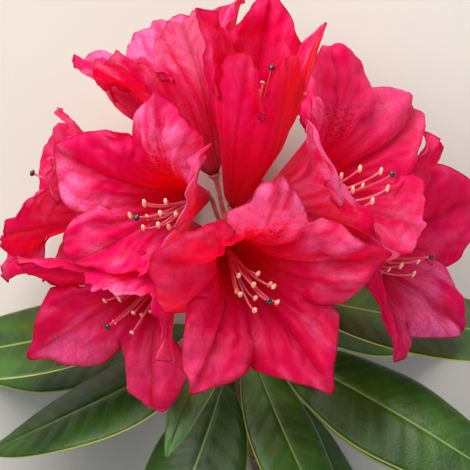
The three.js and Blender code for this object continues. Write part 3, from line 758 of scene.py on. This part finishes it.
def corolla(bloom):
    """One petal funnel with its five lobes."""
    shares = np.linspace(-1, 1, LOBE_COLUMNS + 1)
    across = np.sign(shares) * np.abs(shares) ** 1.25
    points, faces, count = [], [], 0
    reach, aside, turn, marked, margin, pale, fullness = [], [], [], [], [], [], []
    rings = []

    def keep(found, distance, lobe, columns, up):
        """Adds a row of points with their marks, and returns their numbers."""
        nonlocal count
        points.append(found)
        outermost = np.maximum(np.abs(columns), up) * smooth(up * 8)
        margin.append(outermost)
        fullness.append(1 - MARGIN_THINNED * smooth((outermost - 0.8) / 0.2))
        reach.append(distance / PETAL_LENGTH)
        aside.append(np.abs(columns))
        turn.append(BLOOM_APART * bloom.number + lobe + columns / 2)
        # Share of pale haze, partly paler pigment and partly painted highlight, blended between
        # neighbouring lobes and fading into the throat.
        own, before, after = (pale_share(bloom, (lobe + i) % LOBES) for i in (0, -1, 1))
        own = own + (np.where(columns < 0, before, after) - own) * columns**2 / 2 * (1 - up)
        opened = smooth((reach[-1] - 0.45) / 0.4)
        pale.append(own * (THROAT_HAZE + (1 - THROAT_HAZE) * opened))
        on_upper = 1 - smooth((np.abs(columns) - 0.4) / 0.5) if lobe == 0 else 0 * columns
        begun, ended = smooth((distance - MARKS_FROM) / 8), smooth((distance - MARKS_TO + 10) / 10)
        marked.append(on_upper * begun * (1 - ended))
        count += len(found)
        return np.arange(count - len(found), count)

    for i in range(FUNNEL_ROWS + 1):
        ring = []
        for lobe in range(LOBES):
            columns = across[:-1]
            distance = np.full(len(columns), FUNNEL_LENGTH * i / FUNNEL_ROWS)
            found, _ = petal_points(bloom, lobe, columns, 0 * columns, distance)
            ring.append(keep(found, distance, lobe, columns, 0 * columns))
        ring = np.concatenate(ring)
        rings.append(np.append(ring, ring[0]))
    faces += list(stitch(rings))
    for lobe in range(LOBES):
        rows = [rings[-1][lobe * LOBE_COLUMNS : (lobe + 1) * LOBE_COLUMNS + 1]]
        for i in range(1, LOBE_ROWS + 1):
            up = np.full(len(across), i / LOBE_ROWS)
            found, distance = petal_points(bloom, lobe, across, up)
            rows.append(keep(found, distance, lobe, across, up))
        faces += list(stitch(rows))
    marks = {
        "reach": np.concatenate(reach),
        "aside": np.concatenate(aside),
        "turn": np.concatenate(turn),
        "marked": np.concatenate(marked),
        "margin": np.concatenate(margin),
        "pale": np.concatenate(pale),
        "warm": np.full(count, WARM_BLOOMS.get(bloom.name, WARM)),
    }
    skins = [PETAL_INNER, PETAL_OUTER]
    made = piece(f"petals_{bloom.name}", np.vstack(points), faces, skins, marks)
    give_body(made, PETAL_THICKNESS, np.concatenate(fullness))
    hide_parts(f"corolla_{bloom.name}")


# ---- Stamens and style -------------------------------------------------------------------------
STAMENS = 10
STAMEN_REACH = (40, 52)  # from the bloom's foot to the anthers, shorter and longer by turns
STAMEN_RING = (9, 7)  # half the width and half the height of the anthers' ring ...
STAMEN_DROP = -5  # ... and its middle, below the bloom's axis
STYLE_TIP = (1, -4)  # the stigma's place right and up from the axis
STYLE_REACH = 62
FILAMENT_RADII = (0.54, 0.34)  # at the foot and at the tip
STYLE_RADII = (0.55, 0.45)
THREAD_RINGS, THREAD_SIDES = 22, 8
KNOB_RINGS, KNOB_SIDES = 9, 12
# Distance along the style from its tip, or along the ovary as a share, and the radius there.
STIGMA_PROFILE = [(-0.5, 0.6), (-0.1, 1.2), (0.4, 1.4), (0.9, 1.15), (1.3, 0.5)]
OVARY_PROFILE = [(0, 1.2), (0.15, 1.8), (0.4, 2.2), (0.7, 2.0), (0.9, 1.3), (1, 0.7)]
OVARY_LENGTH = 6
ANTHER_LENGTH = 3.2
ANTHER_WIDTH = 1.44
TWO_SACS = 0.28  # how much the anther is drawn in between its two sacs


def in_bloom(bloom, right, up, out):
    """A point inside a bloom, from its own right, up and outward distances.

    A bloom that is less spread holds its stamens closer together."""
    open_size = bloom.size * (0.3 + 0.7 * bloom.spread)
    raw = bloom.foot + bloom.side * open_size * right + bloom.up * open_size * up
    raw = raw + bloom.axis * bloom.size * out
    return settle_petal(raw[None], bloom, STAMEN_CLEAR)[0]


def thread(bloom, right, up, out, shares):
    """A thread from the ovary that lies along the lower side of the funnel and turns up."""
    return bezier(
        in_bloom(bloom, right * 0.08, up * 0.08, 2.5),
        in_bloom(bloom, right * 0.15, -2, out * 0.35),
        in_bloom(bloom, right * 0.6, up - 5, out * 0.7),
        in_bloom(bloom, right, up, out),
        shares,
    )


def anther(tip, ahead, up):
    """Points and faces of two pollen sacs side by side, set across the filament's end."""
    rings, sides = KNOB_RINGS, KNOB_SIDES
    along = unit(ahead * 0.6 + up * 0.8)
    side = unit(np.cross(along, ahead + 0.01))
    other = np.cross(along, side)
    shares = np.cos(np.linspace(0, math.pi, rings + 2)[1:-1])
    turns = 2 * math.pi * np.arange(sides) / sides
    two_sacs = 1 + TWO_SACS * np.cos(2 * turns)
    circle = np.outer(np.cos(turns) * two_sacs, side) + np.outer(np.sin(turns) * two_sacs, other)
    points = [
        tip + along * ANTHER_LENGTH / 2 * s + circle * ANTHER_WIDTH / 2 * math.sqrt(1 - s * s)
        for s in shares
    ]
    rows = np.arange(rings * sides).reshape(rings, sides)
    faces = stitch(np.hstack([rows, rows[:, :1]]))
    return np.vstack(points), [f[::-1] for f in faces] + [rows[0], rows[-1][::-1]]


def stamens(bloom):
    """A bloom's stamens, in a ring that leans to its lower side, with its style and ovary."""
    draw = np.random.default_rng(bloom.number)
    parts = Parts()
    shares = np.linspace(0, 1, THREAD_RINGS)
    for i in range(STAMENS):
        turn = math.radians(360 / STAMENS * i + 12 + draw.uniform(-8, 8))
        out = STAMEN_REACH[i % 2] + draw.uniform(-3, 3)
        right = (STAMEN_RING[0] + draw.uniform(-1, 2)) * math.sin(turn)
        up = STAMEN_DROP + STAMEN_RING[1] * math.cos(turn) + draw.uniform(-1, 1)
        line = thread(bloom, right, up, out, shares)
        parts.add(*limb(line, np.interp(shares, [0, 1], FILAMENT_RADII), THREAD_SIDES), 0)
        parts.add(*anther(line[-1], unit(line[-1] - line[-3]), bloom.up), 1)
    line = thread(bloom, *STYLE_TIP, STYLE_REACH, shares)
    parts.add(*limb(line, np.interp(shares, [0, 1], STYLE_RADII), THREAD_SIDES), 2)
    beyond, radii = zip(*STIGMA_PROFILE)
    knob = [line[-1] + unit(line[-1] - line[-3]) * distance for distance in beyond]
    parts.add(*limb(knob, radii, KNOB_SIDES), 3)
    heights, radii = zip(*OVARY_PROFILE)
    ovary = [in_bloom(bloom, 0, 0, OVARY_LENGTH * height) for height in heights]
    parts.add(*limb(ovary, radii, KNOB_SIDES), 4)
    made = piece(
        f"threads_{bloom.name}",
        np.vstack(parts.points),
        parts.faces,
        [FILAMENT, ANTHER, STYLE, STIGMA, STALK],
        face_materials=parts.materials,
    )
    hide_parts(f"stamens_{bloom.name}")


# ---- Stem and stalks ---------------------------------------------------------------------------
def stem_radius(height):
    return np.interp(height, *zip(*STEM_PROFILE))


def stem_centre(height):
    height = np.asarray(height, float)
    sway = np.where(height < 0, STEM_SWAY * (height / STEM_SWAY_AT) ** 2, 0)
    return np.multiply.outer(height, ALONG) + np.multiply.outer(sway, RIGHT)


LEAF_SCARS = (-62, -66, -71, -104, -108)  # heights of the low rings that old leaves left
SCAR_HEIGHT = 0.5
SCAR_WIDTH = 1.6
BARK_SLACK = 0.1  # room left under the stem's outline for its ridges
RIDGES = (0.16, 0.1)  # heights of the three broad and the seven narrow ridges
STALK_HEIGHTS = (5, -12)  # where stalks leave the stem: blooms at its tip, and blooms beside it
STALK_LEANS = (25, 100)  # ... and how far these blooms lean from the stem's line
STEM_RINGS, STEM_SIDES = 150, 28
STALK_RINGS, STALK_SIDES = 40, 14
CUT_RADIUS = STEM_PROFILE[0][1]
STEM_CUT = -(TRUSS_HEIGHT - CUT_RADIUS * math.cos(RISE)) / math.sin(RISE)


def stem():
    """The woody stem, with shallow ridges and leaf scars, from its cut to the truss."""
    heights = np.linspace(STEM_CUT, STEM_TOP, STEM_RINGS)
    turns = 2 * math.pi * np.arange(STEM_SIDES) / STEM_SIDES
    radii = []
    for height in heights:
        ridges = RIDGES[0] * np.sin(3 * turns + height / 19)
        ridges = ridges + RIDGES[1] * np.sin(7 * turns - height / 11)
        scars = sum(np.exp(-(((height - at) / SCAR_WIDTH) ** 2)) for at in LEAF_SCARS)
        radii.append(stem_radius(height) - BARK_SLACK + ridges + SCAR_HEIGHT * scars)
    points, faces = limb(stem_centre(heights), radii, STEM_SIDES)
    kinds = [0] * (len(faces) - 2) + [1, 0]
    made = piece("bark_stem", points, faces, [BARK, CUT_WOOD], face_materials=kinds)
    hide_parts("stem")


def stalk(bloom):
    """A bloom's stalk with the small calyx that its funnel sits on."""
    height = np.interp(bloom.stalk[0], STALK_LEANS, STALK_HEIGHTS)
    away = heading(90, bloom.stalk[1])
    start = stem_centre(height) + away * (stem_radius(height) + CLEAR + 0.4)
    end = bloom.foot - bloom.axis * (CLEAR + 0.2)
    shares = np.linspace(0, 1, STALK_RINGS)
    line = bezier(start, start + away * 3 + bloom.foot * 0.25, end - bloom.axis * 9, end, shares)
    points, faces = limb(line, np.interp(shares, *zip(*STALK_PROFILE)), STALK_SIDES)
    made = piece(f"flower_stalk_{bloom.name}", points, faces, [STALK])
    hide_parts(f"stalk_{bloom.name}")


# ---- Leaves ------------------------------------------------------------------------------------
# Name, height on the stem, direction at the foot and at the tip (lean, turn), roll, length,
# width, and whether it is a young leaf.
LEAF_LIST = [
    ("leaf_left", -30, (75, 160), (91, 188), -20, 144, 46, False),
    ("leaf_lower_left", -48, (100, 148), (123, 189), 0, 112, 40, False),
    ("leaf_down", -52, (116, 106), (150, 150), 0, 132, 45, False),
    ("leaf_down_right", -38, (105, 74), (140, 42), 0, 130, 29, False),
    ("leaf_lower_right", -48, (87, 40), (122, 17), 10, 140, 42, False),
    ("leaf_right", -34, (67, 6), (99, 359), 10, 144, 46, False),
    ("leaf_far_right", -54, (115, 19), (122, 1), 0, 128, 42, False),
    ("leaf_under_right", -60, (140, 36), (145, 25), 0, 120, 40, False),
    ("leaf_back_left", -44, (120, 196), (108, 200), 0, 130, 42, False),
    ("leaf_back", -54, (150, 255), (153, 180), 0, 112, 40, False),
    ("leaf_back_right", -42, (122, 320), (98, 342), 0, 132, 42, False),
    ("young_leaf_left", -30, (88, 108), (140, 118), 0, 76, 17, True),
    ("young_leaf_right", -31, (86, 52), (134, 40), 0, 48, 10, True),
]
PETIOLE_HALF_WIDTH = 1.7
YOUNG_PETIOLE = 0.6  # a young leaf's petiole is this share of that
LEAF_SAG = 0.16  # how far the sides hang, as a share of half the leaf's width
LEAF_CREST = 0.6  # how far the blade sinks towards its midrib
LEAF_GROOVE = 0.5  # depth of the groove along the midrib
LEAF_PILLOW = 0.5  # height of the pillows between side veins ...
LEAF_PILLOWS = 14  # ... and how many of them lie along the leaf
YOUNG_PILLOW = 0.4  # a young leaf's pillows have this share of that height
LEAF_EDGE = 0.8  # how far the margin turns down
LEAF_WAVE = 0.8  # height of the blade's broad, uneven waves
LEAF_FOOT_ROOM = 1.4  # more room at the stem for a foot that lies along it, none for a square one
LEAF_ROWS, LEAF_COLUMNS = 90, 24
LEAF_BELOW = 2  # leaves keep this much further from the cone between blooms and leaves


def settle_leaf(points):
    """Points of a leaf, once the blooms and the ground have bent it."""
    past = points @ ALONG - skirt_at(points) + SHEET_CLEAR + LEAF_BELOW
    p = give_way(points, past, SKIRT_YIELD, ALONG, -ALONG, 0)
    low = SHEET_CLEAR - TRUSS_HEIGHT
    p = give_way(p, low - p[:, 2], GROUND_YIELD, DOWN, level_out(p), 0.3)
    p[:, 2] = np.maximum(p[:, 2], low)
    return p


def leaf(number, name, at, start, end, roll, length, width, young):
    """One leaf: its petiole and its blade, along a bent midrib."""
    rows, columns = LEAF_ROWS, LEAF_COLUMNS
    first, last = heading(*start), heading(*end)
    tilt = LEAF_FOOT_ROOM * abs(math.cos(math.radians(start[0])))
    foot = stem_centre(at) + heading(90, start[1]) * (stem_radius(at) + CLEAR + tilt)
    shares = np.linspace(0, 1, rows + 1)
    across = np.linspace(-1, 1, columns + 1)
    across = np.sign(across) * np.abs(across) ** 1.3
    ahead = first + (last - first) * shares[:, None]
    ahead /= np.linalg.norm(ahead, axis=1)[:, None]
    steps = np.vstack([np.zeros(3), (ahead[1:] + ahead[:-1]) / 2 * length / rows])
    spine = foot + np.cumsum(steps, axis=0)
    blade = np.clip((shares - PETIOLE_SHARE) / (1 - PETIOLE_SHARE), 0, 1)
    # The blade is widest a little below its middle and full towards both ends.
    swell = np.sin(math.pi * blade**0.85) ** 0.72
    petiole = PETIOLE_HALF_WIDTH * (YOUNG_PETIOLE if young else 1) * (1 - blade * 0.7)
    half = np.maximum(width / 2 * swell, petiole)
    points = []
    for i, share in enumerate(shares):
        face = unit(ALONG - ahead[i] * (ALONG @ ahead[i]))
        face = spun(face, ahead[i], roll * smooth(4 * share))
        aside = np.cross(ahead[i], face)
        on_blade = smooth((share - PETIOLE_SHARE) * 6)
        out = np.abs(across)
        sag = LEAF_SAG * half[i] * across**2 + LEAF_CREST * (1 - out) * on_blade
        groove = LEAF_GROOVE * np.exp(-((across / 0.06) ** 2)) * on_blade
        pillow = LEAF_PILLOW * np.sin(2 * math.pi * (share * LEAF_PILLOWS - out * 1.3))
        pillow = pillow * out * (1 - out) * on_blade * (YOUNG_PILLOW if young else 1)
        edge = LEAF_EDGE * out**6 * on_blade
        wave = ripple(np.full(columns + 1, share * 3), across * 0.6, 40 + number)
        lift = pillow + LEAF_WAVE * wave * on_blade * out - sag - groove - edge
        points.append(spine[i] + np.outer(half[i] * across, aside) + np.outer(lift, face))
    points = settle_leaf(np.vstack(points))
    grid = np.arange((rows + 1) * (columns + 1)).reshape(rows + 1, columns + 1)
    marks = {
        "share": np.repeat(shares * length / LEAF_TYPICAL, columns + 1),
        "aside": np.tile(np.abs(across), rows + 1),
        "across": np.tile(across, rows + 1),
    }
    skins = [YOUNG_UPPER, YOUNG_UNDER] if young else [LEAF_UPPER, LEAF_UNDER]
    made = piece(f"{name}_blade", points, stitch(grid), skins, marks)
    give_body(made, LEAF_THICKNESS, 1 - 0.5 * marks["aside"] ** 8)
    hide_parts(name)


# ---- The shoot, its ground, the light and the camera -------------------------------------------
CAMERA_HEIGHT = 1.0  # metres above the middle of the truss
CAMERA_ASIDE = (0.0011, -0.0011)  # metres beside it
VIEW_WIDTH = 0.1855  # metres across the frame at the middle of the truss
SENSOR = 36  # millimetres across the camera's sensor
GROUND_SIZE = 3.0  # metres from the shoot to the ground's edges
SQUARE = ((-1, -1), (1, -1), (1, 1), (-1, 1))
SKY_STRENGTH = 0.35
# Name, place and width in metres, watts and colour.
LIGHTS = [
    ("key", (-0.35, 0.42, 0.62), 0.8, 9, "#FFFAF2"),
    ("back", (0.16, 2.0, 0.9), 1.28, 46, "#FFF8F0"),
    ("fill", (0.6, -0.6, 0.75), 0.9, 5, "#F2F6FF"),
]


def set_camera():
    """A camera that looks straight down on the truss."""
    data = bpy.data.cameras.new("camera")
    data.sensor_width = SENSOR
    data.lens = SENSOR * CAMERA_HEIGHT / VIEW_WIDTH
    camera = bpy.data.objects.new("camera", data)
    camera.location = MIDDLE * MM + np.array([*CAMERA_ASIDE, CAMERA_HEIGHT])
    bpy.context.scene.collection.objects.link(camera)
    bpy.context.scene.camera = camera


def soft_light(name, place, size, watts, colour):
    """A round, soft light that faces the middle of the truss."""
    data = bpy.data.lights.new(name, "AREA")
    data.shape, data.size, data.energy = "DISK", size, watts
    data.color = linear(colour)[:3]
    light = bpy.data.objects.new(name, data)
    light.location = place
    aim = np.array(place) - MIDDLE * MM
    light.rotation_euler = (
        math.atan2(math.hypot(aim[0], aim[1]), aim[2]),
        0,
        math.atan2(aim[0], -aim[1]),
    )
    bpy.context.scene.collection.objects.link(light)


def set_ground():
    """A plain floor of pale, matt paper."""
    mesh = bpy.data.meshes.new("ground")
    corners = [(x * GROUND_SIZE, y * GROUND_SIZE, 0) for x, y in SQUARE]
    mesh.from_pydata(corners, [], [(0, 1, 2, 3)])
    material, tree = new_material("pale_paper")
    skin = add(tree, "BsdfPrincipled", {"Base Color": "#B8B6B2", "Roughness": 0.9}).outputs[0]
    add(tree, "OutputMaterial", {"Surface": skin})
    mesh.materials.append(material)
    ground = bpy.data.objects.new("ground", mesh)
    bpy.context.scene.collection.objects.link(ground)


def set_sky():
    world = bpy.data.worlds.new("sky")
    world.use_nodes = True
    background = world.node_tree.nodes["Background"]
    background.inputs["Color"].default_value = linear("#F2F4F8")
    background.inputs["Strength"].default_value = SKY_STRENGTH
    bpy.context.scene.world = world


set_camera()
stem()
for number, row in enumerate(LEAF_LIST):
    leaf(number, *row)
for bloom in BLOOMS:
    stalk(bloom)
    corolla(bloom)
    stamens(bloom)
set_ground()
set_sky()
for light in LIGHTS:
    soft_light(*light)
bpy.context.scene.view_settings.view_transform = "Standard"
